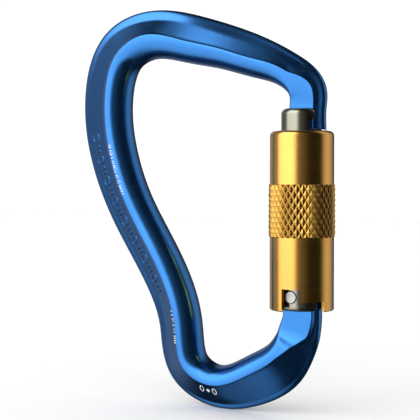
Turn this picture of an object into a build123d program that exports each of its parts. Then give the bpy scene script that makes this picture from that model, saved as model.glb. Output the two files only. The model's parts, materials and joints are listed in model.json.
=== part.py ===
from build123d import *
import math
import os

import numpy as np

# Locking carabiner, three-action auto-lock, in millimetres.
# X runs from the spine to the gate, Y is the thickness, Z is up; the origin is the centre of its box.
# At rest the gate is shut and the sleeve is down, in its locked position.

# ---- driving dimensions -------------------------------------------------------------------------
AXIS_X = 31.8            # vertical axis that the gate barrel and the sleeve share
PIVOT_X = 31.5           # hinge rivet, a little inboard of that axis
PIVOT_Z = -24.2
GATE_SWING = math.radians(25)
FIT = 0.1                # running clearance on a radius or a side
GAP = 0.02               # gap between faces that rest on each other

FRAME_HALF = 5.4         # half the thickness of the rope-bearing ridge
BAND_WIDTH = 1.6        # flatter band between the sloping wall and the rounded outer edge
EDGE_WIDTH = 1.4
BAND_SHARE = 0.35       # where the wall is short, the band and the edge take these shares of it
EDGE_SHARE = 0.3
NOSE_HALF = 2.5          # half the thickness of the nose web
HEAD_HALF = 3.8          # half the width of the nose's T-head
HEAD_HEIGHT = 2.3
NOSE_START = 45.95       # underside of the nose, as a radius about the rivet
NOSE_INNER = -3.2        # inner and outer faces of the nose, from the sleeve's axis
NOSE_OUTER = 7.05
HEAD_OUTER = 3.9         # outer end of the T-head
NOSE_LOW, NOSE_HIGH = 15.0, 28.5
LUG_HALF = 3.0           # half the thickness of the hinge lug
LUG_NECK = (-5.0, 6.1)   # inner and outer edges of the lug's neck, from the sleeve's axis
LUG_ROUND = 6.6          # radius of the upright cylinder that rounds the lug's edges
LUG_BOTTOM = -32.5

CAP_RADIUS = 5.7         # barrel of the gate; its top is the visible cap
CAP_TOP = 27.0
CAP_ROUND = 1.6
FORK_RADIUS = 6.5
FORK_TOP = -15.0
FORK_END = 4.0           # end of the fork below the rivet
FORK_ROUND = 1.4
RIVET_RADIUS = 1.8
RIVET_PROUD = 0.2        # how far each rivet end stands out of the fork
RIVET_ROUND = 0.35
PRESS = 0.03             # the rivet is drawn this much slimmer than its hole
SLOT_FIT = 0.15          # clearance of the nose in its slot, per side
SLOT_UNDER = 0.45        # clearance under the nose
SLOT_TOP = PIVOT_Z + 6.0

SLEEVE_RADIUS = 8.8
SLEEVE_BORE = 7.3
SLEEVE_TOP = 20.8
SLEEVE_BOTTOM = -28.1
SLEEVE_ROUND = 1.3
SLEEVE_RELIEF = 0.4      # the bore is wider by this around the fork
SLEEVE_FLARE = 0.8       # bevel inside the lower rim, which clears the frame as the gate swings
KNURL_RADIUS = 9.1
KNURL_TOP = 6.3
KNURL_BOTTOM = -8.2

# Notches in the sleeve's lower end: start and end angle about its axis, and height of the top edge.
# The same two notches repeat half a turn further round.
DEEP_NOTCH = (-103, -67, -21.9)
WIDE_NOTCH = (-67, -21, -25.3)
NOSE_SLOT_TURN = 75      # where the slot for the nose stands while the sleeve is locked
NOSE_SLOT_HALF = 3.2
NOSE_SLOT_BOTTOM = 15.2

# Heights of the hidden stack between barrel and sleeve, from the fork up.
LEDGE_BOTTOM = FORK_TOP + 0.5
LEDGE_TOP = -12.0
BUSH_TOP = -9.5
COLLAR_BOTTOM = 16.4
COLLAR_TOP = 19.2
RING_TOP = 20.2
RING_GROOVE = 5.2        # radius at the bottom of the retaining ring's groove
RING_OPENING = 1.6       # width of the gap in the retaining ring
SPRING_WIRE = 1.1
SPRING_MEAN = 6.45
SPRING_TURNS = 8.5

# Gate plunger and the cam it rides on.
GATE_BORE = 2.4
GATE_BORE_TOP = 4.0
TIP_RADIUS = 2.2         # rounded tip of the plunger
CAM_START = 4.4          # cam radius under the plunger with the gate shut
CAM_RISE = 2.2           # rise of the plunger per radian of gate swing
CAM_EXTRA = 0.15         # the cam's edge runs on this far past both ends of the swing, in radians
PLUNGER_TIP = PIVOT_Z + CAM_START + 0.04
PLUNGER_TOP = PLUNGER_TIP + 9.0
GATE_SPRING_WIRE = 0.8
GATE_SPRING_MEAN = 1.75
GATE_SPRING_TURNS = 7.5

WIDE = 10.0              # reaches past anything it cuts

# Stations along the frame, from the nose over the top, down the spine and round to the hinge.
# x, z, width, ridge half thickness, inner edge rounding, distance from inner edge to ridge crease,
# half thickness where the wall meets the outer band, and where the band meets the rounded edge
STATIONS = [
    (33.7, 27.4, 10.25, NOSE_HALF, 1.0, 7.6, 1.6, 1.3),     # nose
    (33.8, 31.2, 10.5, 2.9, 1.1, 7.7, 1.8, 1.45),           # nose corner
    (28.5, 37.25, 9.9, 4.0, 3.0, 5.0, 2.6, 1.3),
    (18.6, 41.75, 11.6, 5.1, 4.6, 5.1, 2.6, 1.4),           # falling top bow
    (8.0, 45.4, 12.8, FRAME_HALF, 5.0, 5.5, 2.5, 1.3),
    (-2.6, 48.25, 14.0, FRAME_HALF, 5.2, 6.0, 2.2, 1.1),
    (-16.8, 50.5, 14.5, FRAME_HALF, 5.3, 6.6, 1.6, 1.1),    # highest point
    (-28.2, 46.2, 16.2, FRAME_HALF, 5.3, 6.0, 1.8, 1.3),    # shoulder
    (-33.35, 32.5, 16.7, FRAME_HALF, 5.3, 5.7, 1.7, 1.1),   # widest point
    (-31.35, 15.1, 16.1, FRAME_HALF, 5.3, 5.7, 1.6, 1.0),
    (-25.45, 0.5, 15.2, FRAME_HALF, 5.3, 5.7, 1.6, 1.0),    # middle of the spine
    (-12.5, -20.9, 14.5, FRAME_HALF, 5.3, 5.7, 1.6, 1.0),
    (-7.6, -34.5, 13.9, FRAME_HALF, 5.2, 5.6, 1.7, 1.0),    # waist
    (-4.9, -46.5, 13.3, FRAME_HALF, 5.0, 5.4, 2.0, 1.0),
    (5.1, -51.8, 12.3, FRAME_HALF, 4.6, 5.0, 2.2, 0.9),     # lowest point
    (18.7, -48.4, 14.3, FRAME_HALF, 4.8, 5.2, 1.9, 1.0),
    (26.7, -43.2, 13.7, 5.3, 4.4, 5.2, 2.0, 1.0),
    (29.9, -38.5, 12.6, 4.8, 3.4, 6.4, 2.2, 1.0),           # run-out of the hinge flat
    (31.5, -34.5, 11.8, 3.05, 1.2, 9.0, 1.8, 1.45),         # hinge flat
    (32.3, -31.0, 11.3, LUG_HALF, 1.0, 9.3, 1.75, 1.45),
]


# ---- curves through the stations ----------------------------------------------------------------
def natural_spline(knots, values):
    """Second derivatives of the natural cubic spline through the values."""
    count = len(knots)
    step = np.diff(knots)
    system = np.eye(count)
    right = np.zeros(count)
    for k in range(1, count - 1):
        system[k, k - 1] = step[k - 1]
        system[k, k] = 2 * (step[k - 1] + step[k])
        system[k, k + 1] = step[k]
        rise = (values[k + 1] - values[k]) / step[k]
        fall = (values[k] - values[k - 1]) / step[k - 1]
        right[k] = 6 * (rise - fall)
    return np.linalg.solve(system, right)


def spline_value(knots, values, bends, s):
    """Value and slope of that spline at s."""
    k = min(max(int(np.searchsorted(knots, s)) - 1, 0), len(knots) - 2)
    step = knots[k + 1] - knots[k]
    left = (knots[k + 1] - s) / step
    right = 1 - left
    value = left * values[k] + right * values[k + 1]
    value += ((left**3 - left) * bends[k] + (right**3 - right) * bends[k + 1]) * step**2 / 6
    slope = (values[k + 1] - values[k]) / step
    slope += ((3 * right**2 - 1) * bends[k + 1] - (3 * left**2 - 1) * bends[k]) * step / 6
    return value, slope


TABLE = np.array(STATIONS)
CHORDS = np.hypot(np.diff(TABLE[:, 0]), np.diff(TABLE[:, 1]))
KNOTS = np.concatenate([[0.0], np.cumsum(CHORDS)])
BEND_X = natural_spline(KNOTS, TABLE[:, 0])
BEND_Z = natural_spline(KNOTS, TABLE[:, 1])


def station(s):
    """Centre, outward direction and section sizes at the distance s along the stations."""
    x, slope_x = spline_value(KNOTS, TABLE[:, 0], BEND_X, s)
    z, slope_z = spline_value(KNOTS, TABLE[:, 1], BEND_Z, s)
    length = math.hypot(slope_x, slope_z)
    outward = Vector(slope_z / length, 0, -slope_x / length)
    sizes = [float(np.interp(s, KNOTS, values)) for values in TABLE.T[2:]]
    return Vector(x, 0, z), outward, sizes


# ---- frame --------------------------------------------------------------------------------------
def half_section(width, ridge, rounding, crease, wall_end, band_end):
    """Half outline of a section: distance from the inner edge, and half thickness there."""
    inner = [
        (rounding * (1 - math.cos(angle)), ridge * math.sin(angle))
        for angle in (0, math.pi / 6, math.pi / 3, math.pi / 2)
    ]
    edge = min(EDGE_WIDTH, EDGE_SHARE * (width - crease))
    band = min(BAND_WIDTH, BAND_SHARE * (width - crease))
    corner = width - edge - band
    outer = [
        (crease, ridge),
        ((crease + corner) / 2, (ridge + wall_end) / 2),
        (corner, wall_end),
        (width - edge, band_end),
        (width - edge * (1 - math.sin(math.pi / 4)), band_end * math.cos(math.pi / 4)),
        (width, 0),
    ]
    return inner + outer


def section_wire(s):
    centre, outward, sizes = station(s)
    width = sizes[0]
    half = half_section(*sizes)
    front = [centre + outward * (n - width / 2) + Vector(0, -h, 0) for n, h in half]
    back = [centre + outward * (n - width / 2) + Vector(0, h, 0) for n, h in half[-2:0:-1]]
    return Wire([Edge.make_spline(front + back, periodic=True)])


def frame_bow():
    """The curved bow, lofted through sections at every station and halfway between them."""
    halfway = (KNOTS[1:] + KNOTS[:-1]) / 2
    places = sorted(list(KNOTS) + list(halfway))
    return Solid.make_loft([section_wire(s) for s in places])


def plate(outline, half):
    """A plate |y| < half over a face drawn in the XZ plane."""
    return extrude(outline, amount=half, both=True)


def disc(radius, x=PIVOT_X, z=PIVOT_Z):
    return Plane.XZ * Pos(x, z) * Circle(radius)


def block(x0, x1, z0, z1):
    return Plane.XZ * Pos((x0 + x1) / 2, (z0 + z1) / 2) * Rectangle(x1 - x0, z1 - z0)


def post(radius, z0, z1, x=AXIS_X):
    """A vertical cylinder between two heights."""
    return Pos(x, 0, z0) * Cylinder(radius, z1 - z0, align=(Align.CENTER, Align.CENTER, Align.MIN))


def tube(outer, inner, z0, z1):
    return post(outer, z0, z1) - post(inner, z0, z1)


def frame_nose():
    """Nose web and T-head, ending just clear of the sleeve's swing."""
    inner = AXIS_X + NOSE_INNER
    outer = AXIS_X + NOSE_OUTER
    side = block(inner, outer, NOSE_LOW, NOSE_HIGH)
    web = plate(side - disc(NOSE_START), NOSE_HALF)
    reach = block(inner, AXIS_X + HEAD_OUTER, NOSE_LOW, NOSE_HIGH)
    head = plate(reach & (disc(NOSE_START + HEAD_HEIGHT) - disc(NOSE_START)), HEAD_HALF)
    return (web + head) & post(NOSE_OUTER, NOSE_LOW, NOSE_HIGH)


def cam_edge(swing):
    """Edge of the hinge cam that the plunger's tip touches at a gate angle."""
    turn = math.pi / 2 + swing
    reach = CAM_START + TIP_RADIUS + CAM_RISE * swing
    tilt = math.hypot(reach, CAM_RISE)
    away = reach - TIP_RADIUS * reach / tilt
    side = TIP_RADIUS * CAM_RISE / tilt
    x = PIVOT_X + away * math.cos(turn) - side * math.sin(turn)
    z = PIVOT_Z + away * math.sin(turn) + side * math.cos(turn)
    return (x, z)


def hinge_lug():
    """Plate between the fork's cheeks, with the plunger's cam above the rivet."""
    low, high = -CAM_EXTRA, GATE_SWING + CAM_EXTRA
    rim = [cam_edge(low + (high - low) * k / 8) for k in range(9)]
    cam = Plane.XZ * make_face(Spline(*rim) + Polyline(rim[-1], (PIVOT_X, PIVOT_Z), rim[0]))
    neck = block(AXIS_X + LUG_NECK[0], AXIS_X + LUG_NECK[1], LUG_BOTTOM, PIVOT_Z - RIVET_RADIUS)
    outline = neck + disc(CAM_START) + cam
    middle = AXIS_X + sum(LUG_NECK) / 2
    lug = plate(outline, LUG_HALF) & post(LUG_ROUND, LUG_BOTTOM - 1, SLOT_TOP, middle)
    return lug - plate(disc(RIVET_RADIUS), WIDE)


def frame():
    return frame_bow() + frame_nose() + hinge_lug()


# ---- gate ---------------------------------------------------------------------------------------
def gate_barrel():
    """Barrel with a T-slot in its cap, a fork below, and a bore for the plunger and its spring."""
    barrel = post(CAP_RADIUS, PIVOT_Z, CAP_TOP)
    barrel = fillet(barrel.edges().group_by(Axis.Z)[-1], CAP_ROUND)
    cheeks = post(FORK_RADIUS, PIVOT_Z - FORK_END, FORK_TOP)
    cheeks = fillet(cheeks.edges().group_by(Axis.Z)[0], FORK_ROUND)
    barrel += cheeks
    inner = AXIS_X + NOSE_INNER - SLOT_FIT
    slot = block(inner, AXIS_X + WIDE, NOSE_LOW, CAP_TOP + 1) - disc(NOSE_START - SLOT_UNDER)
    cavity = slot & disc(NOSE_START + HEAD_HEIGHT + FIT)
    barrel -= plate(slot, NOSE_HALF + SLOT_FIT)
    barrel -= plate(cavity, HEAD_HALF + SLOT_FIT)
    barrel -= plate(block(AXIS_X - WIDE, AXIS_X + WIDE, SLEEVE_BOTTOM - 1, SLOT_TOP), LUG_HALF + FIT)
    barrel -= post(GATE_BORE, SLOT_TOP - 1, GATE_BORE_TOP, PIVOT_X)
    barrel -= tube(CAP_RADIUS + 1, RING_GROOVE, COLLAR_TOP, RING_TOP)
    return barrel - plate(disc(RIVET_RADIUS), WIDE)


def hinge_rivet():
    """Rivet through both cheeks and the lug, with slightly domed ends."""
    length = 2 * (FORK_RADIUS + RIVET_PROUD)
    pin = Cylinder(RIVET_RADIUS - PRESS, length)
    pin = fillet(pin.edges().filter_by(GeomType.CIRCLE), RIVET_ROUND)
    return Pos(PIVOT_X, 0, PIVOT_Z) * Rot(90, 0, 0) * pin


def gate_plunger():
    """Round-tipped plunger; its tip is a cylinder across the lug, so it follows the cam."""
    body = post(GATE_BORE - FIT, PLUNGER_TIP, PLUNGER_TOP, PIVOT_X)
    tip_round = disc(TIP_RADIUS, PIVOT_X, PLUNGER_TIP + TIP_RADIUS)
    upper = block(PIVOT_X - WIDE, PIVOT_X + WIDE, PLUNGER_TIP + TIP_RADIUS, PLUNGER_TOP)
    return body & plate(tip_round + upper, WIDE)


def coil(mean, wire, z0, z1, turns, x):
    """Compression spring between two heights, its ends clear of the faces they press on."""
    low = z0 + wire / 2 + GAP
    height = z1 - z0 - wire - 2 * GAP
    path = Pos(x, 0, low) * Helix(height / turns, height, mean)
    start = Plane(origin=path @ 0, z_dir=path % 0)
    return sweep(start * Circle(wire / 2), path=path)


def gate_spring():
    return coil(
        GATE_SPRING_MEAN, GATE_SPRING_WIRE, PLUNGER_TOP, GATE_BORE_TOP, GATE_SPRING_TURNS, PIVOT_X
    )


def spring_collar():
    return tube(SLEEVE_BORE - FIT, CAP_RADIUS + GAP, COLLAR_BOTTOM, COLLAR_TOP)


def retaining_ring():
    """Snap ring with a gap, sprung into the barrel's groove."""
    ring = tube(SLEEVE_BORE - 4 * FIT, RING_GROOVE + GAP, COLLAR_TOP + GAP, RING_TOP - GAP)
    opening = Pos(AXIS_X, SLEEVE_BORE, RING_TOP) * Box(RING_OPENING, WIDE, WIDE)
    return ring - opening


def thrust_washer():
    return tube(SLEEVE_BORE - 2 * FIT, CAP_RADIUS + FIT, FORK_TOP + GAP, LEDGE_BOTTOM - GAP)


# ---- sleeve -------------------------------------------------------------------------------------
def sector(start, end, z0, z1):
    """A wedge about the sleeve's axis, wider than the sleeve."""
    reach = 2 * SLEEVE_RADIUS
    corners = [(0, 0)]
    for k in range(5):
        turn = math.radians(start + (end - start) * k / 4)
        corners.append((reach * math.cos(turn), reach * math.sin(turn)))
    return Pos(AXIS_X, 0, z0) * extrude(make_face(Polyline(*corners, close=True)), amount=z1 - z0)


def locking_sleeve():
    """Turned sleeve with a raised knurl band, an inner ledge, end notches and a slot for the nose."""
    body = post(SLEEVE_RADIUS, SLEEVE_BOTTOM, SLEEVE_TOP)
    body = fillet(body.edges().group_by(Axis.Z)[-1], SLEEVE_ROUND)
    body += post(KNURL_RADIUS, KNURL_BOTTOM, KNURL_TOP)
    body -= post(SLEEVE_BORE, LEDGE_TOP, SLEEVE_TOP)
    body -= post(CAP_RADIUS + FIT, LEDGE_BOTTOM, LEDGE_TOP)
    body -= post(SLEEVE_BORE, SLEEVE_BOTTOM, LEDGE_BOTTOM)
    wide_bore = SLEEVE_BORE + SLEEVE_RELIEF
    body -= post(wide_bore, SLEEVE_BOTTOM, DEEP_NOTCH[2] - SLEEVE_RELIEF)
    body -= Pos(AXIS_X, 0, SLEEVE_BOTTOM + SLEEVE_FLARE / 2) * Cone(
        wide_bore + SLEEVE_FLARE, wide_bore, SLEEVE_FLARE
    )
    for half_turn in (0, 180):
        for start, end, top in (DEEP_NOTCH, WIDE_NOTCH):
            body -= sector(start + half_turn, end + half_turn, SLEEVE_BOTTOM - 1, top)
    slot = Pos(SLEEVE_RADIUS, 0, NOSE_SLOT_BOTTOM) * Box(
        2 * SLEEVE_RADIUS, 2 * NOSE_SLOT_HALF, SLEEVE_TOP, align=(Align.CENTER, Align.CENTER, Align.MIN)
    )
    return body - Pos(AXIS_X, 0, 0) * Rot(0, 0, NOSE_SLOT_TURN) * slot


def glide_bush():
    return tube(SLEEVE_BORE - FIT, CAP_RADIUS + FIT, LEDGE_TOP + GAP, BUSH_TOP)


def sleeve_spring():
    return coil(SPRING_MEAN, SPRING_WIRE, BUSH_TOP, COLLAR_BOTTOM, SPRING_TURNS, AXIS_X)


# ---- output -------------------------------------------------------------------------------------
PIECES = [
    frame,
    gate_barrel,
    hinge_rivet,
    gate_plunger,
    gate_spring,
    spring_collar,
    retaining_ring,
    thrust_washer,
    locking_sleeve,
    glide_bush,
    sleeve_spring,
]

os.makedirs("parts", exist_ok=True)
for piece in PIECES:
    export_step(piece(), f"parts/{piece.__name__}.step")
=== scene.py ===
import json
import math
import random

import bmesh
import bpy
import numpy as np
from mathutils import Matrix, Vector


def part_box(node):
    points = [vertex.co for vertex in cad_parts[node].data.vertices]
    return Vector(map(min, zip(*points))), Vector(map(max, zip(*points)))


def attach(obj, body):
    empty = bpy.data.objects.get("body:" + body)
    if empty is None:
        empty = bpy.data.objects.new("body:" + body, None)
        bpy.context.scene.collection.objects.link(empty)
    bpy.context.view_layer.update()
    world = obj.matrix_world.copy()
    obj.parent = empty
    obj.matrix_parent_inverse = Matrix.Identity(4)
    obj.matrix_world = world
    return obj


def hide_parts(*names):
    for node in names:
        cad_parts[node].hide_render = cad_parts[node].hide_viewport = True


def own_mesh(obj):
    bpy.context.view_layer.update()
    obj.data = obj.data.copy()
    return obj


# The visible pieces of a locking carabiner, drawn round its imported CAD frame.
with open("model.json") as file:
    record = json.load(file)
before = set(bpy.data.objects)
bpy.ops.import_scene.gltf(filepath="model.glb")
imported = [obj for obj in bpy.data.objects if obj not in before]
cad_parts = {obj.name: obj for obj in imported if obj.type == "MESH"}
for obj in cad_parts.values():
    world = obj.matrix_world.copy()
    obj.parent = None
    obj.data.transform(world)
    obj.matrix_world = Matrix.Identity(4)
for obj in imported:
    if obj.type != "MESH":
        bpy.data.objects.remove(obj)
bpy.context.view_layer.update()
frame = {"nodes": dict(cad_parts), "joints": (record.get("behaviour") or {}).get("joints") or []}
random.seed(7)

MM = 0.001               # shapes are drawn in millimetres; make_piece turns them into metres

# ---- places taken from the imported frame, in millimetres -----------------------------------------
JOINTS = {joint["name"]: joint for joint in frame["joints"]}
PIVOT_X, _, PIVOT_Z = (value / MM for value in JOINTS["gate_swing"]["pos_m"])
AXIS_X = JOINTS["sleeve_twist"]["pos_m"][0] / MM
SLEEVE_BOTTOM, SLEEVE_TOP = (corner.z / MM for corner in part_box("locking_sleeve"))
FLOOR_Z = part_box("frame")[0].z / MM


# ---- shader helpers -----------------------------------------------------------------------------
class Shader:
    """A short way to build a node tree."""

    def __init__(self, tree):
        self.tree = tree
        tree.nodes.clear()

    def node(self, kind, inputs=None, **settings):
        made = self.tree.nodes.new(kind)
        for name, value in settings.items():
            setattr(made, name, value)
        for name, value in (inputs or {}).items():
            self.feed(made.inputs[name], value)
        return made

    def feed(self, socket, value):
        if isinstance(value, bpy.types.NodeSocket):
            self.tree.links.new(value, socket)
        else:
            socket.default_value = value

    def math(self, operation, first, second=0.0):
        made = self.node("ShaderNodeMath", operation=operation)
        self.feed(made.inputs[0], first)
        self.feed(made.inputs[1], second)
        return made.outputs[0]

    def add(self, first, *others):
        for other in others:
            first = self.math("ADD", first, other)
        return first

    def times(self, first, *others):
        for other in others:
            first = self.math("MULTIPLY", first, other)
        return first

    def ramp(self, value, start, end, low=0.0, high=1.0):
        """Smooth step from low to high as value goes from start to end."""
        made = self.node("ShaderNodeMapRange", interpolation_type="SMOOTHSTEP")
        for socket, number in zip(made.inputs, (value, start, end, low, high)):
            self.feed(socket, number)
        return made.outputs[0]

    def window(self, value, start, end, soft):
        """One between start and end, falling softly to zero outside."""
        rise = self.ramp(value, start - soft, start + soft)
        fall = self.ramp(value, end - soft, end + soft, 1.0, 0.0)
        return self.math("MULTIPLY", rise, fall)

    def noise(self, coords, scale, detail=3.0, stretch=(1, 1, 1)):
        mapped = self.node("ShaderNodeMapping", {"Vector": coords, "Scale": stretch})
        inputs = {"Vector": mapped.outputs[0], "Scale": scale, "Detail": detail}
        return self.node("ShaderNodeTexNoise", inputs).outputs["Fac"]

    def mix(self, factor, first, second):
        """Blend of two colours, by the numbers of the mix node's colour sockets."""
        made = self.node("ShaderNodeMix", data_type="RGBA")
        self.feed(made.inputs[0], factor)
        self.feed(made.inputs[6], first)
        self.feed(made.inputs[7], second)
        return made.outputs[2]


CLOUD_SCALE = 60.0              # broad variation of tone, in cells per metre
CLOUD_EDGES = (0.35, 0.65)
GRAIN_EDGES = (0.25, 0.75)
SMOOTHEST, ROUGHEST = 0.8, 1.25    # shares of a metal's roughness at the two ends of its grain
METAL_RELIEF = 0.0002           # depth of the grain in metres
MATTE_RELIEF = 0.0001
LATHE_RINGS = (0.15, 0.15, 4.0)    # grain drawn out into rings about the vertical axis
COARSE_RINGS = (0.2, 0.2, 3.0)


def start_material(name):
    """A new material, its node tree and the object's own coordinates."""
    material = bpy.data.materials.new(name)
    material.use_nodes = True
    s = Shader(material.node_tree)
    return material, s, s.node("ShaderNodeTexCoord").outputs["Object"]


def close_material(s, inputs):
    """Gives the material a principled surface with these inputs."""
    shader = s.node("ShaderNodeBsdfPrincipled", inputs)
    s.node("ShaderNodeOutputMaterial", {"Surface": shader.outputs[0]})


def metal(name, colour, shade, roughness, grain_scale, stretch=(1, 1, 1), bump=0.02, coat=0.0, dye=0.0):
    """Metal with fine grain, its tone drifting from shade to colour.

    coat is the weight of a clear gloss over it, and dye the share that is plain colour, not metal.
    """
    material, s, coords = start_material(name)
    cloud = s.noise(coords, CLOUD_SCALE, 2.0)
    grain = s.noise(coords, grain_scale, 4.0, stretch)
    tone = s.mix(s.ramp(cloud, *CLOUD_EDGES), (*shade, 1), (*colour, 1))
    rough = s.ramp(grain, *GRAIN_EDGES, roughness * SMOOTHEST, roughness * ROUGHEST)
    relief = s.node("ShaderNodeBump", {"Strength": bump, "Distance": METAL_RELIEF, "Height": grain})
    inputs = {
        "Base Color": tone,
        "Metallic": 1.0 - dye,
        "Roughness": rough,
        "Normal": relief.outputs[0],
        "Coat Weight": coat,
        "Coat Roughness": roughness,
    }
    close_material(s, inputs)
    return material


def matte(name, colour, shade, roughness, grain_scale, bump=0.1):
    """Non-metallic surface with slight mottling."""
    material, s, coords = start_material(name)
    grain = s.noise(coords, grain_scale, 5.0)
    tone = s.mix(grain, (*shade, 1), (*colour, 1))
    relief = s.node("ShaderNodeBump", {"Strength": bump, "Distance": MATTE_RELIEF, "Height": grain})
    close_material(s, {"Base Color": tone, "Roughness": roughness, "Normal": relief.outputs[0]})
    return material


BLUE = metal(
    "anodised_blue", (0.03, 0.208, 0.60), (0.026, 0.193, 0.565), 0.19, 900.0, bump=0.03, coat=0.5, dye=0.03
)
GOLD = metal("anodised_gold", (0.97, 0.515, 0.09), (0.92, 0.47, 0.075), 0.2, 500.0, LATHE_RINGS, 0.05, 1.0)
# darker copy of the sleeve's gold for the knurled band: its darker colour is painted shade among the
# diamonds, its rougher finish is real
SHADED_KNURL_GOLD = metal("knurled_gold_painted_shade", (0.68, 0.38, 0.065), (0.60, 0.33, 0.05), 0.3, 900.0, bump=0.05, coat=0.5)
GUNMETAL = metal("gunmetal", (0.40, 0.385, 0.30), (0.36, 0.345, 0.265), 0.17, 500.0, LATHE_RINGS, 0.04)
ZINC = metal("rivet_zinc", (0.72, 0.71, 0.67), (0.55, 0.55, 0.52), 0.4, 1200.0, bump=0.15)
STEEL = metal("drawn_steel", (0.62, 0.62, 0.62), (0.50, 0.50, 0.51), 0.22, 1500.0, bump=0.1)
DARK_STEEL = metal("blackened_steel", (0.20, 0.20, 0.21), (0.13, 0.13, 0.14), 0.30, 1200.0, bump=0.1)
BRASS = metal("turned_brass", (0.80, 0.62, 0.30), (0.68, 0.50, 0.22), 0.24, 700.0, COARSE_RINGS, 0.06)
ACETAL = matte("acetal", (0.86, 0.86, 0.83), (0.78, 0.78, 0.75), 0.45, 800.0)
ETCH = matte("etched_white", (0.92, 0.93, 0.95), (0.75, 0.78, 0.82), 0.6, 4000.0)


# ---- mesh helpers -------------------------------------------------------------------------------
def make_piece(name, points, faces, material, smooth=True):
    """A mesh object from points in millimetres."""
    mesh = bpy.data.meshes.new(name)
    mesh.from_pydata([tuple(value * MM for value in p) for p in points], [], faces)
    mesh.materials.append(material)
    mesh.polygons.foreach_set("use_smooth", [smooth] * len(mesh.polygons))
    tidy = bmesh.new()
    tidy.from_mesh(mesh)
    bmesh.ops.recalc_face_normals(tidy, faces=tidy.faces)
    tidy.to_mesh(mesh)
    tidy.free()
    piece = bpy.data.objects.new(name, mesh)
    bpy.context.scene.collection.objects.link(piece)
    return piece


def bevel(piece, width, segments=3, angle=35):
    """Rounded edges whose shading stays crisp on the flats."""
    made = piece.modifiers.new("edge", "BEVEL")
    made.width = width * MM
    made.segments = segments
    made.limit_method = "ANGLE"
    made.angle_limit = math.radians(angle)
    made.harden_normals = True
    return piece


def band_faces(rings, count, closed=False):
    """Quads that join each ring of count points to the next, and the last to the first if closed."""
    faces = []
    for row in range(rings if closed else rings - 1):
        low, high = row * count, (row + 1) % rings * count
        for k in range(count):
            after = (k + 1) % count
            faces.append((low + k, low + after, high + after, high + k))
    return faces


def rings_to_piece(name, rings, material):
    """Joins closed rings of equal length into one tube with flat ends."""
    count = len(rings[0])
    points = [p for ring in rings for p in ring]
    faces = band_faces(len(rings), count)
    faces.append(tuple(range(count)))
    faces.append(tuple(range(len(points) - 1, len(points) - 1 - count, -1)))
    return make_piece(name, points, faces, material)


def plate_piece(name, outline, half, material, edge):
    """A flat plate |y| < half with rounded edges; the outline is in the XZ plane."""
    count = len(outline)
    points = [(x, -half, z) for x, z in outline] + [(x, half, z) for x, z in outline]
    faces = [tuple(range(count)), tuple(range(2 * count - 1, count - 1, -1))]
    for k in range(count):
        after = (k + 1) % count
        faces.append((k, after, count + after, count + k))
    return bevel(make_piece(name, points, faces, material, smooth=False), edge)


def holed_plate(name, radii, hole, half, material, edge):
    """A plate |y| < half about the hinge pin with a round hole; radii gives its outer edge."""
    count = len(radii)
    loops = []
    for y, sizes in ((-half, radii), (half, radii), (half, [hole] * count), (-half, [hole] * count)):
        for k, size in enumerate(sizes):
            turn = 2 * math.pi * k / count
            loops.append((PIVOT_X + size * math.cos(turn), y, PIVOT_Z + size * math.sin(turn)))
    faces = band_faces(4, count, closed=True)
    return bevel(make_piece(name, loops, faces, material, smooth=False), edge)


def turned_piece(name, profile, material, columns=192):
    """A closed profile of (radius, height) turned about the sleeve's axis."""
    count = len(profile)
    points = []
    for column in range(columns):
        turn = 2 * math.pi * column / columns
        for radius, z in profile:
            points.append((AXIS_X + radius * math.cos(turn), radius * math.sin(turn), z))
    faces = []
    for column in range(columns):
        here, there = column * count, (column + 1) % columns * count
        for k in range(count):
            after = (k + 1) % count
            faces.append((here + k, there + k, there + after, here + after))
    return make_piece(name, points, faces, material)


def carve(piece, cutters):
    """Cuts the cutters out of the piece for good and removes them."""
    for cutter in cutters:
        cut = piece.modifiers.new("cut", "BOOLEAN")
        cut.operation = "DIFFERENCE"
        cut.solver = "MANIFOLD"
        cut.object = cutter
    bpy.context.view_layer.update()
    evaluated = piece.evaluated_get(bpy.context.evaluated_depsgraph_get())
    carved = bpy.data.meshes.new_from_object(evaluated)
    piece.modifiers.clear()
    piece.data = carved
    for cutter in cutters:
        bpy.data.objects.remove(cutter)
    return piece


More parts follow.
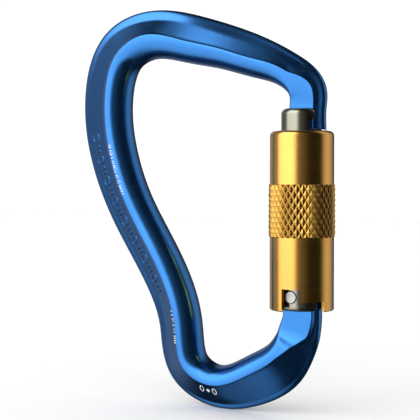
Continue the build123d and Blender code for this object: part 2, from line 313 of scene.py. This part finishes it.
# ---- frame --------------------------------------------------------------------------------------
# Stations along the frame, in millimetres, from the nose over the top round to the hinge:
# x, z, width, ridge half thickness, inner edge rounding, distance from inner edge to ridge crease,
# height of the step at the crease, half thickness where the wall meets the outer band, and where
# the band meets the rounded edge
NOSE_HALF = 2.5
FRAME_HALF = 5.4
LUG_HALF = 3.0
STATIONS = np.array([
    (33.75, 20.5, 10.4, NOSE_HALF, 1.0, 7.7, 0.15, 1.6, 1.3),
    (33.75, 27.4, 10.4, NOSE_HALF, 1.0, 7.7, 0.15, 1.6, 1.3),
    (33.8, 31.2, 10.5, 2.9, 1.1, 7.7, 0.2, 1.8, 1.45),
    (28.5, 37.25, 9.9, 4.0, 3.0, 5.0, 0.4, 2.6, 1.3),
    (18.6, 41.75, 11.6, 5.1, 4.6, 5.1, 0.25, 2.6, 1.4),
    (8.0, 45.4, 12.8, FRAME_HALF, 5.0, 5.5, 0.25, 2.95, 1.6),
    (-2.6, 48.25, 14.0, FRAME_HALF, 5.2, 6.0, 0.25, 2.55, 1.6),
    (-16.8, 50.5, 14.5, FRAME_HALF, 5.3, 6.6, 0.3, 1.6, 1.1),
    (-28.2, 46.2, 16.2, FRAME_HALF, 5.3, 6.0, 0.5, 1.8, 1.3),
    (-33.35, 32.5, 16.7, FRAME_HALF, 5.3, 5.7, 0.6, 1.7, 1.1),
    (-31.35, 15.1, 16.1, FRAME_HALF, 5.3, 5.7, 0.6, 1.6, 1.0),
    (-25.45, 0.5, 15.2, FRAME_HALF, 5.3, 5.7, 0.6, 1.6, 1.0),
    (-12.5, -20.9, 14.5, FRAME_HALF, 5.3, 5.7, 0.6, 1.6, 1.0),
    (-7.6, -34.5, 13.9, FRAME_HALF, 5.2, 5.6, 0.4, 1.7, 1.0),
    (-4.9, -46.5, 13.3, FRAME_HALF, 5.0, 5.4, 0.2, 2.0, 1.0),
    (5.1, -51.8, 12.3, FRAME_HALF, 4.6, 5.0, 0.1, 2.2, 0.9),
    (18.7, -48.4, 14.3, FRAME_HALF, 4.8, 5.2, 0.1, 1.9, 1.0),
    (26.7, -43.2, 13.7, 5.3, 4.4, 5.2, 0.2, 2.0, 1.0),
    (29.7, -38.8, 12.6, 4.8, 3.6, 6.4, 0.3, 2.2, 1.0),
    (30.8, -36.4, 12.2, 3.5, 1.9, 7.8, 0.2, 2.0, 1.2),
    (31.5, -34.0, 11.8, 3.05, 1.1, 9.4, 0.15, 1.8, 1.4),
    (32.15, -31.0, 11.0, LUG_HALF, 1.0, 9.3, 0.15, 1.75, 1.4),
    (32.15, -26.0, 10.9, LUG_HALF, 1.0, 9.2, 0.15, 1.75, 1.4),
])
BAND_WIDTH = 1.6         # flatter band between the sloping wall and the rounded outer edge
EDGE_WIDTH = 1.4
BAND_SHARE = 0.35        # where the wall is short, the band and the edge take these shares of it
EDGE_SHARE = 0.3
CORNER = 0.6             # half length of the rounding between wall and band
CORNER_MOST = 0.45       # that half length is at most this share of either side
CREASE_ROUND = 0.35
TIP_SHARE = 0.4          # least height of the rounded edge's control point, as a share of the band's end
ROUND_STEPS = 16         # mesh steps along the stretches of half a section, from the inner edge outwards
RIDGE_STEPS = 3
BEND_STEPS = 6
WALL_STEPS = 8
BAND_STEPS = 4
EDGE_STEPS = 12
STEP_SLOPE = math.tan(math.radians(50))
RING_STEP = 0.5
NOSE_START = 45.8        # underside of the nose, as a radius about the hinge pin
NOSE_LENGTH = 10         # stretch of the bar that can reach below that underside
HEAD_HALF = 3.8          # T-head of the nose
HEAD_HEIGHT = 2.3
HEAD_LEFT, HEAD_RIGHT = -3.2, 3.9
HEAD_STEPS = 12
HEAD_EDGE = 0.3
LUG_RADIUS = 4.4
LUG_STEPS = 180
LUG_EDGE = 0.15
LUG_INSET = 0.02         # keeps the eye's flat sides off the bar's
CAM_RISE = 2.2           # extra radius of the hinge cam per radian
CAM_END = 0.58
PIN_HOLE = 1.8

CHORDS = np.hypot(np.diff(STATIONS[:, 0]), np.diff(STATIONS[:, 1]))
KNOTS = np.concatenate([[0.0], np.cumsum(CHORDS)])


def natural_bends(values):
    """Second derivatives of the natural cubic spline through values at the knots."""
    step = np.diff(KNOTS)
    count = len(KNOTS)
    system = np.eye(count)
    right = np.zeros(count)
    slopes = np.diff(values) / step
    for k in range(1, count - 1):
        system[k, k - 1 : k + 2] = (step[k - 1], 2 * (step[k - 1] + step[k]), step[k])
        right[k] = 6 * (slopes[k] - slopes[k - 1])
    return np.linalg.solve(system, right)


def smooth(values, s):
    """Value and slope of the natural cubic spline at the distances s."""
    bends = natural_bends(values)
    k = np.clip(np.searchsorted(KNOTS, s) - 1, 0, len(KNOTS) - 2)
    step = KNOTS[k + 1] - KNOTS[k]
    left = (KNOTS[k + 1] - s) / step
    right = 1 - left
    value = left * values[k] + right * values[k + 1]
    value += ((left**3 - left) * bends[k] + (right**3 - right) * bends[k + 1]) * step**2 / 6
    slope = (values[k + 1] - values[k]) / step
    slope += ((3 * right**2 - 1) * bends[k + 1] - (3 * left**2 - 1) * bends[k]) * step / 6
    return value, slope


def eased(values, s):
    """Cubic through the values that never swings past them."""
    step = np.diff(KNOTS)
    rise = np.diff(values) / step
    slopes = np.zeros(len(KNOTS))
    same = rise[:-1] * rise[1:] > 0
    slopes[1:-1][same] = 2 * rise[:-1][same] * rise[1:][same] / (rise[:-1] + rise[1:])[same]
    k = np.clip(np.searchsorted(KNOTS, s) - 1, 0, len(KNOTS) - 2)
    t = (s - KNOTS[k]) / step[k]
    start = (1 + 2 * t) * (1 - t) ** 2 * values[k] + t * (1 - t) ** 2 * step[k] * slopes[k]
    end = t * t * (3 - 2 * t) * values[k + 1] + t * t * (t - 1) * step[k] * slopes[k + 1]
    return start + end


def bend(start, corner, end, count):
    """Points of a curve from start towards end that is tangent to both arms of the corner."""
    points = []
    for k in range(count):
        t = k / count
        near, middle, far = (1 - t) ** 2, 2 * t * (1 - t), t * t
        points.append(tuple(near * a + middle * b + far * c for a, b, c in zip(start, corner, end)))
    return points


def straight(start, end, count):
    """Points of a straight line from start towards end."""
    return [tuple(a + (b - a) * k / count for a, b in zip(start, end)) for k in range(count)]


def towards(start, end, distance):
    """The point at a distance from start on the way to end, or at CORNER_MOST of it if that is nearer."""
    length = math.dist(start, end)
    share = min(distance / length, CORNER_MOST)
    return tuple(a + (b - a) * share for a, b in zip(start, end))


def half_outline(width, ridge, rounding, crease, step, wall_end, band_end):
    """Half of a section from the inner to the outer edge: distance from the inner edge, half thickness."""
    points = []
    for k in range(ROUND_STEPS):
        turn = math.pi / 2 * k / ROUND_STEPS
        points.append((rounding * (1 - math.cos(turn)), ridge * math.sin(turn)))
    points += straight((rounding, ridge), (crease - CREASE_ROUND, ridge), RIDGE_STEPS)
    foot = (crease + step / STEP_SLOPE, ridge - step)
    points += bend((crease - CREASE_ROUND, ridge), (crease, ridge), foot, BEND_STEPS)
    edge = min(EDGE_WIDTH, EDGE_SHARE * (width - crease))
    band = min(BAND_WIDTH, BAND_SHARE * (width - crease))
    corner = (width - edge - band, wall_end)
    end = (width - edge, band_end)
    before, after = towards(corner, foot, CORNER), towards(corner, end, CORNER)
    points += straight(foot, before, WALL_STEPS)
    points += bend(before, corner, after, BEND_STEPS)
    points += straight(after, end, BAND_STEPS)
    fall = (wall_end - band_end) / band * edge
    tip = (width, max(band_end - fall, TIP_SHARE * band_end))
    points += bend(end, tip, (width, 0), EDGE_STEPS)
    points.append((width, 0))
    return np.array(points)


def station(s):
    """Centre, outward direction, width and half outline of the section at the distance s."""
    x, slope_x = smooth(STATIONS[:, 0], s)
    z, slope_z = smooth(STATIONS[:, 1], s)
    width, _ = smooth(STATIONS[:, 2], s)
    sizes = [eased(STATIONS[:, column], s) for column in range(3, STATIONS.shape[1])]
    length = math.hypot(slope_x, slope_z)
    outward = np.array((slope_z / length, 0, -slope_x / length))
    return np.array((x, 0, z)), outward, width, half_outline(width, *sizes)


def section_ring(s):
    """The whole section at the distance s, front half then back half."""
    centre, outward, width, half = station(s)
    front = [centre + outward * (n - width / 2) + (0, -h, 0) for n, h in half]
    back = [centre + outward * (n - width / 2) + (0, h, 0) for n, h in half[-2:0:-1]]
    return front + back


def nose_bottom(x):
    """Height of the nose's underside, an arc about the hinge pin."""
    return PIVOT_Z + math.sqrt(NOSE_START**2 - (x - PIVOT_X) ** 2)


def frame_piece(piece):
    """The piece belongs to the forged frame."""
    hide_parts("frame")
    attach(piece, "frame")


def build_bow():
    """The whole bent bar, from the nose round to the hinge neck."""
    count = int(KNOTS[-1] / RING_STEP)
    rings = [section_ring(KNOTS[-1] * k / count) for k in range(count + 1)]
    for ring in rings[: int(NOSE_LENGTH / RING_STEP)]:
        for point in ring:
            point[2] = max(point[2], nose_bottom(point[0]))
    frame_piece(rings_to_piece("frame_bow", rings, BLUE))


def build_nose_head():
    """T-head that the slot in the gate's cap hooks over."""
    left, right = AXIS_X + HEAD_LEFT, AXIS_X + HEAD_RIGHT
    across = [left + (right - left) * k / HEAD_STEPS for k in range(HEAD_STEPS + 1)]
    low = [(x, nose_bottom(x)) for x in across]
    high = [(x, nose_bottom(x) + HEAD_HEIGHT) for x in reversed(across)]
    frame_piece(plate_piece("nose_head", low + high, HEAD_HALF, BLUE, HEAD_EDGE))


def build_hinge_lug():
    """Eye of the hinge between the fork's cheeks, with the plunger's cam on top."""
    radii = []
    for k in range(LUG_STEPS):
        swing = math.radians(360 * k / LUG_STEPS - 90)
        radii.append(LUG_RADIUS + (CAM_RISE * swing if 0 < swing < CAM_END else 0))
    frame_piece(holed_plate("hinge_lug", radii, PIN_HOLE, LUG_HALF - LUG_INSET, BLUE, LUG_EDGE))


# ---- marks on the frame -------------------------------------------------------------------------
RAISED_HEIGHT, RAISED_SINK = 0.17, 0.1
RAISED_PITCH = 3.3
RAISED_INSET = 5.3       # from the outer edge to the middle of the row
RAISED_STROKE = 0.6
OVAL_HALF = 1.5          # half height of the ovals
OVAL_WIDE, OVAL_NARROW = 1.2, 0.95
BAR_SIZE = (0.42, 1.6)
BAR_PLACES = (-0.65, 0.75)
ETCH_HEIGHT, ETCH_SINK = 0.015, 0.03
TICK_HALF = 0.21
TICK_LENGTH = 0.8        # half length of the longest tick
TICK_SHARES = (0.6, 0.85, 1.0)
TICK_GAPS = (0.62, 0.8, 1.1)
SIGN_INSET = 7.0         # from the inner edge to the signs at the bottom
SIGN_PITCH = 1.9
SIGN_RING = (0.55, 0.9, 0.35)
SIGN_DOT = 0.75
PAD_RIM = 0.72           # size of a pad's top as a share of its foot


class Marks:
    """Small raised shapes gathered into one mesh on the front of the frame."""

    def __init__(self, height, sink):
        self.height = height
        self.sink = sink
        self.points = []
        self.faces = []

    def place(self, s, n, lift):
        """A point of the front surface, s along the frame and n from its inner edge, lifted off it."""
        centre, outward, width, half = station(s)
        k = min(max(int(np.searchsorted(half[:, 0], n)), 1), len(half) - 1)
        (n0, h0), (n1, h1) = half[k - 1], half[k]
        h = h0 + (h1 - h0) * (n - n0) / (n1 - n0)
        normal = np.array((h0 - h1, n1 - n0))
        normal = normal / np.hypot(*normal)
        point = centre + outward * (n - width / 2 + normal[0] * lift)
        return point + (0, -(h + normal[1] * lift), 0)

    def loop(self, s, n, long, wide, turn, lift, count):
        """An oval about (s, n), lifted off the surface; returns the numbers of its points."""
        first = len(self.points)
        for k in range(count):
            angle = 2 * math.pi * k / count
            u, v = long * math.cos(angle), wide * math.sin(angle)
            along = u * math.cos(turn) - v * math.sin(turn)
            across = u * math.sin(turn) + v * math.cos(turn)
            self.points.append(self.place(s + along, n + across, lift))
        return list(range(first, first + count))

    def bridge(self, low, high):
        for k in range(len(low)):
            after = (k + 1) % len(low)
            self.faces.append((low[k], low[after], high[after], high[k]))

    def pad(self, s, n, long, wide, turn=0.0, count=16):
        """A filled oval with a sloping edge."""
        low = self.loop(s, n, long, wide, turn, -self.sink, count)
        high = self.loop(s, n, long * PAD_RIM, wide * PAD_RIM, turn, self.height, count)
        self.bridge(low, high)
        self.faces.append(tuple(high))
        self.faces.append(tuple(reversed(low)))

    def ring(self, s, n, long, wide, stroke, turn=0.0, count=20):
        """An oval outline with sloping sides."""
        offsets = ((stroke / 2, -self.sink), (stroke / 4, self.height), (-stroke / 4, self.height))
        offsets += ((-stroke / 2, -self.sink),)
        loops = [self.loop(s, n, long + d, wide + d, turn, lift, count) for d, lift in offsets]
        for k in range(4):
            self.bridge(loops[k], loops[(k + 1) % 4])

    def finish(self, name, material):
        return make_piece(name, self.points, self.faces, material)


def nearest_distance(x, z):
    """Distance along the frame of the place nearest to (x, z)."""
    tries = np.linspace(0, KNOTS[-1], 900)
    places = np.array([(smooth(STATIONS[:, 0], s)[0], smooth(STATIONS[:, 1], s)[0]) for s in tries])
    return tries[np.argmin(np.hypot(places[:, 0] - x, places[:, 1] - z))]


def build_raised_marks():
    """A worn row of raised ovals and bars along the spine's outer face, in place of lettering."""
    marks = Marks(RAISED_HEIGHT, RAISED_SINK)
    begin, end = nearest_distance(-32.5, 21), nearest_distance(-10, -27)
    for k in range(int((end - begin) / RAISED_PITCH)):
        s = begin + k * RAISED_PITCH
        n = station(s)[2] - RAISED_INSET
        kind = k % 4
        if kind == 0:
            marks.ring(s, n, OVAL_WIDE, OVAL_HALF, RAISED_STROKE)
        elif kind == 2:
            marks.ring(s, n, OVAL_NARROW, OVAL_HALF, RAISED_STROKE)
        else:
            for place in BAR_PLACES:
                marks.pad(s + place, n, *BAR_SIZE)
    frame_piece(marks.finish("raised_marks", BLUE))


def etched_row(marks, begin, end, inset):
    """Ticks of uneven length across a line at the inset from the inner edge."""
    s = begin
    while s < end:
        marks.pad(s, inset, TICK_HALF, TICK_LENGTH * random.choice(TICK_SHARES), count=8)
        s += random.choice(TICK_GAPS)


def build_etched_marks():
    """Pale etched ticks on the ridge, in place of the rating marks, and three plain signs at the bottom."""
    marks = Marks(ETCH_HEIGHT, ETCH_SINK)
    etched_row(marks, nearest_distance(-33, 17), nearest_distance(-26, 1.5), 5.0)
    etched_row(marks, nearest_distance(-9, -31), nearest_distance(-6.6, -40), 5.9)
    middle = nearest_distance(4.5, -52)
    marks.ring(middle - SIGN_PITCH, SIGN_INSET, *SIGN_RING)
    marks.pad(middle, SIGN_INSET, SIGN_DOT, SIGN_DOT, count=4)
    marks.ring(middle + SIGN_PITCH, SIGN_INSET, *SIGN_RING)
    frame_piece(marks.finish("etched_marks", ETCH))


build_bow()
build_nose_head()
build_hinge_lug()
build_raised_marks()
build_etched_marks()

# ---- locking sleeve -----------------------------------------------------------------------------
SLEEVE_RADIUS = 8.8
SLEEVE_BORE = 7.3
SLEEVE_RELIEF = 7.7      # wider bore round the fork
SLEEVE_FLARE = 0.7
SLEEVE_ROUND = 1.3
RIM_CHAMFER = 0.3
RIM_STEPS = 8
LIP_STEPS = 5
SLEEVE_EDGE = 0.18
RELIEF_TOP = -22.3
LEDGE_BORE = 5.8
LEDGE_BOTTOM, LEDGE_TOP = -14.5, -12.0
NOTCHES = ((-103, -67, -21.9), (-67, -21, -25.3))    # start and end angle, height of the top edge
NOSE_SLOT = (75, 3.2, 15.2)                          # angle, half width, height of its bottom
KNURL_TOP, KNURL_BOTTOM = 6.3, -8.2
KNURL_ROUND = 34         # diamonds round the band
KNURL_PITCH = 2.9        # height of one diamond
KNURL_DEPTH = 0.38
KNURL_STEPS = 16         # mesh steps across one diamond
KNURL_PEAK = 9.15        # radius of the diamonds' tops
KNURL_FLANK = 2.3        # steepness of the flanks; above 2 the tops are flat
KNURL_FADE = (0.35, 0.2)  # height over which the pattern fades at the bottom and the top
KNURL_SINK = 0.4         # how far the band reaches into the sleeve
CUT_PAST = 2             # how far the cutters reach past the sleeve's ends
SLOT_REACH = 14
WEDGE_STEPS = 4


def sleeve_profile():
    """Outline of the wall as (radius, height): up the bore, over the rim, down the outside and back in."""
    points = [(SLEEVE_BORE, LEDGE_TOP), (SLEEVE_BORE, SLEEVE_TOP - RIM_CHAMFER)]
    points.append((SLEEVE_BORE + RIM_CHAMFER, SLEEVE_TOP))
    flat = SLEEVE_RADIUS - SLEEVE_ROUND
    for k in range(RIM_STEPS + 1):
        turn = math.pi / 2 * k / RIM_STEPS
        out, down = math.sin(turn), 1 - math.cos(turn)
        points.append((flat + SLEEVE_ROUND * out, SLEEVE_TOP - SLEEVE_ROUND * down))
    flare_end = SLEEVE_RELIEF + SLEEVE_FLARE
    lip = SLEEVE_RADIUS - flare_end
    for k in range(LIP_STEPS + 1):
        turn = math.pi / 2 * k / LIP_STEPS
        points.append((flare_end + lip * math.cos(turn), SLEEVE_BOTTOM + lip * (1 - math.sin(turn))))
    points.append((SLEEVE_RELIEF, SLEEVE_BOTTOM + SLEEVE_FLARE))
    points += [(SLEEVE_RELIEF, RELIEF_TOP), (SLEEVE_BORE, RELIEF_TOP), (SLEEVE_BORE, LEDGE_BOTTOM)]
    points += [(LEDGE_BORE, LEDGE_BOTTOM), (LEDGE_BORE, LEDGE_TOP)]
    return points


def wedge(start, end, low, high):
    """A sector about the sleeve's axis, reaching past its wall."""
    reach = 2 * SLEEVE_RADIUS
    outline = [(AXIS_X, 0)]
    for k in range(WEDGE_STEPS + 1):
        turn = math.radians(start + (end - start) * k / WEDGE_STEPS)
        outline.append((AXIS_X + reach * math.cos(turn), reach * math.sin(turn)))
    count = len(outline)
    points = [(x, y, low) for x, y in outline] + [(x, y, high) for x, y in outline]
    faces = [tuple(range(count)), tuple(range(2 * count - 1, count - 1, -1))]
    faces += [(k, (k + 1) % count, count + (k + 1) % count, count + k) for k in range(count)]
    return make_piece("cutter", points, faces, GOLD, smooth=False)


def slot_cutter():
    """A radial box that cuts the slot for the nose through the sleeve's rim."""
    angle, half, low = NOSE_SLOT
    turn = math.radians(angle)
    ahead = np.array((math.cos(turn), math.sin(turn)))
    aside = np.array((-math.sin(turn), math.cos(turn)))
    sizes = ((0, -half), (SLOT_REACH, -half), (SLOT_REACH, half), (0, half))
    corners = [ahead * reach + aside * side for reach, side in sizes]
    points = [(AXIS_X + x, y, z) for z in (low, SLEEVE_TOP + CUT_PAST) for x, y in corners]
    faces = [(0, 1, 2, 3), (4, 5, 6, 7), (0, 1, 5, 4), (1, 2, 6, 5), (2, 3, 7, 6), (3, 0, 4, 7)]
    return make_piece("cutter", points, faces, GOLD, smooth=False)


def sleeve_piece(piece):
    """The piece belongs to the locking sleeve."""
    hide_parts("locking_sleeve")
    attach(piece, "sleeve")


def build_sleeve():
    """Turned tube with the end notches and the nose slot cut through it."""
    body = turned_piece("sleeve_body", sleeve_profile(), GOLD)
    cutters = [slot_cutter()]
    for start, end, top in NOTCHES:
        for half_turn in (0, 180):
            cutters.append(wedge(start + half_turn, end + half_turn, SLEEVE_BOTTOM - CUT_PAST, top))
    carve(body, cutters)
    body.data.set_sharp_from_angle(angle=math.radians(30))
    bevel(body, SLEEVE_EDGE, segments=2, angle=50)
    sleeve_piece(body)


def knurl_height(column, row):
    """Height of the diamond pattern at a mesh point, from 0 in a groove to 1 on a peak."""
    along = (column + row) % KNURL_STEPS / KNURL_STEPS
    against = (column - row) % KNURL_STEPS / KNURL_STEPS
    return min(1.0, KNURL_FLANK * min(along, 1 - along, against, 1 - against))


def build_knurl():
    """Band of raised diamonds round the sleeve."""
    columns = KNURL_ROUND * KNURL_STEPS
    rows = int((KNURL_TOP - KNURL_BOTTOM) / KNURL_PITCH * KNURL_STEPS)
    foot = SLEEVE_RADIUS - KNURL_SINK
    fade_low, fade_high = KNURL_FADE
    rings = []
    for row in range(rows + 1):
        z = KNURL_TOP - (KNURL_TOP - KNURL_BOTTOM) * row / rows
        fade = min(1.0, (z - KNURL_BOTTOM) / fade_low, (KNURL_TOP - z) / fade_high)
        ring = []
        for column in range(columns):
            turn = 2 * math.pi * column / columns
            radius = KNURL_PEAK - KNURL_DEPTH * (1 - fade * knurl_height(column, row))
            ring.append((AXIS_X + radius * math.cos(turn), radius * math.sin(turn), z))
        rings.append(ring)
    for z in (KNURL_BOTTOM, KNURL_TOP):
        inner = []
        for column in range(columns):
            turn = 2 * math.pi * column / columns
            inner.append((AXIS_X + foot * math.cos(turn), foot * math.sin(turn), z))
        rings.append(inner)
    points = [point for ring in rings for point in ring]
    faces = band_faces(len(rings), columns, closed=True)
    # the band takes the darker gold, which paints the shade among the diamonds
    band = make_piece("sleeve_knurl", points, faces, SHADED_KNURL_GOLD, smooth=False)
    sleeve_piece(band)


build_sleeve()
build_knurl()

# ---- springs --------------------------------------------------------------------------------------
SPRING_RING = 12         # mesh points round the wire
SPRING_STEPS = 40        # mesh steps in one turn of the coil


def build_spring(node, wire, turns):
    """A helix that fills the CAD spring's box."""
    low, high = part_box(node)
    x = (low.x + high.x) / 2 / MM
    mean = (high.y - low.y) / 2 / MM - wire / 2
    start, height = low.z / MM + wire / 2, (high.z - low.z) / MM - wire
    count = int(turns * SPRING_STEPS)
    rings = []
    for k in range(count + 1):
        turn = 2 * math.pi * turns * k / count
        ring = []
        for side in range(SPRING_RING):
            around = 2 * math.pi * side / SPRING_RING
            radius = mean + wire / 2 * math.cos(around)
            z = start + height * k / count + wire / 2 * math.sin(around)
            ring.append((x + radius * math.cos(turn), radius * math.sin(turn), z))
        rings.append(ring)
    piece = rings_to_piece(node + "_coil", rings, STEEL)
    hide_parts(node)
    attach(piece, "gate")
    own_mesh(piece)


build_spring("sleeve_spring", wire=1.1, turns=8.5)
build_spring("gate_spring", wire=0.8, turns=7.5)

# ---- CAD pieces that keep their shape -----------------------------------------------------------
CAD_LOOKS = {
    "gate_barrel": GUNMETAL,
    "hinge_rivet": ZINC,
    "gate_plunger": BRASS,
    "spring_collar": DARK_STEEL,
    "retaining_ring": STEEL,
    "thrust_washer": BRASS,
    "glide_bush": ACETAL,
}
SHARP_ANGLE = math.radians(32)
for node, look in CAD_LOOKS.items():
    carried = frame["nodes"][node]
    carried.data.materials.clear()
    carried.data.materials.append(look)
    carried.data.shade_smooth()
    carried.data.set_sharp_from_angle(angle=SHARP_ANGLE)
    flats = carried.modifiers.new("flats", "WEIGHTED_NORMAL")
    flats.keep_sharp = True


# ---- studio -------------------------------------------------------------------------------------
BACKDROP = 1.1           # brightness of the white that the camera and matte surfaces see
AMBIENT = 0.02           # least brightness anywhere round the polished metal
TABLE_GLOW = 0.06
LEFT_FILL = 0.28
FLOOR_REACH = 1600
LENS = 89.2
CAMERA_TARGET = (2.7, 0, -1.1)
CAMERA_AZIMUTH = math.radians(30)
CAMERA_DISTANCE = 300
CAMERA_RISE = 7.1        # height of the camera above its target
CLIP_START = 10


def build_world():
    """Studio of soft boxes: the camera sees a white background, polished metal sees the boxes."""
    world = bpy.data.worlds.new("studio")
    bpy.context.scene.world = world
    world.use_nodes = True
    s = Shader(world.node_tree)
    direction = s.node("ShaderNodeTexCoord").outputs["Generated"]
    parts = s.node("ShaderNodeSeparateXYZ", {"Vector": direction})
    x, y, z = parts.outputs
    # angles in degrees: azimuth from the front towards the gate side, height from level
    azimuth = s.times(s.math("ARCTAN2", x, s.times(y, -1.0)), 180 / math.pi)
    height = s.times(s.math("ARCSINE", z), 180 / math.pi)

    # key box to the left of the front, brighter upwards and dimmed well above level
    across = s.times(s.ramp(azimuth, -80, -56), s.ramp(azimuth, -11, 13, 1, 0))
    upward = s.add(s.ramp(height, -84, -14, 0.02, 1.4), s.ramp(height, -14, 30, 0, 0.95))
    key = s.times(across, upward, s.ramp(height, 47, 61, 1, 0.12), s.ramp(height, 60, 80, 1, 0.3))
    # faint glow across the front, two fills towards the back, and a little light from below
    glow = s.times(s.ramp(azimuth, -60, 0), s.ramp(azimuth, 0, 60, 0.16, 0), s.window(height, -30, 45, 15))
    fill_left = s.times(s.window(azimuth, -150, -78, 10), s.window(height, -35, 45, 15), LEFT_FILL)
    right_side = s.times(s.ramp(azimuth, 92, 122), s.ramp(azimuth, 130, 175, 0.58, 0.1))
    fill_right = s.times(right_side, s.window(height, -30, 60, 20))
    table = s.ramp(height, -66, -84, 0.0, TABLE_GLOW)
    total = s.add(key, glow, fill_left, fill_right, table, AMBIENT)

    rays = s.node("ShaderNodeLightPath").outputs
    plain = s.math("MAXIMUM", rays["Is Camera Ray"], rays["Is Diffuse Ray"])
    studio = s.node("ShaderNodeBackground", {"Color": (1, 1, 1, 1), "Strength": total})
    white = s.node("ShaderNodeBackground", {"Color": (1, 1, 1, 1), "Strength": BACKDROP})
    mixed = s.node("ShaderNodeMixShader", {"Fac": plain})
    s.feed(mixed.inputs[1], studio.outputs[0])
    s.feed(mixed.inputs[2], white.outputs[0])
    s.node("ShaderNodeOutputWorld", {"Surface": mixed.outputs[0]})


def build_floor():
    """Pale floor under the lowest point of the frame; polished metal doesn't reflect it."""
    sides = ((-1, -1), (1, -1), (1, 1), (-1, 1))
    corners = [(FLOOR_REACH * x, FLOOR_REACH * y, FLOOR_Z) for x, y in sides]
    look = matte("floor_paint", (0.93, 0.93, 0.93), (0.90, 0.90, 0.90), 0.9, 40.0, 0.0)
    floor = make_piece("floor", corners, [(0, 1, 2, 3)], look)
    floor.visible_glossy = False


def build_camera():
    """Camera in front and towards the gate's side, a little above its target near the frame's middle."""
    target = Vector(CAMERA_TARGET) * MM
    out = CAMERA_DISTANCE * math.sin(CAMERA_AZIMUTH)
    front = CAMERA_DISTANCE * math.cos(CAMERA_AZIMUTH)
    camera_data = bpy.data.cameras.new("camera")
    camera_data.lens = LENS
    camera_data.clip_start = CLIP_START * MM
    camera = bpy.data.objects.new("camera", camera_data)
    camera.location = target + Vector((out, -front, CAMERA_RISE)) * MM
    camera.rotation_mode = "QUATERNION"
    camera.rotation_quaternion = (target - camera.location).to_track_quat("-Z", "Y")
    bpy.context.scene.collection.objects.link(camera)
    bpy.context.scene.camera = camera


build_world()
build_floor()
build_camera()
bpy.context.scene.view_settings.view_transform = "Standard"
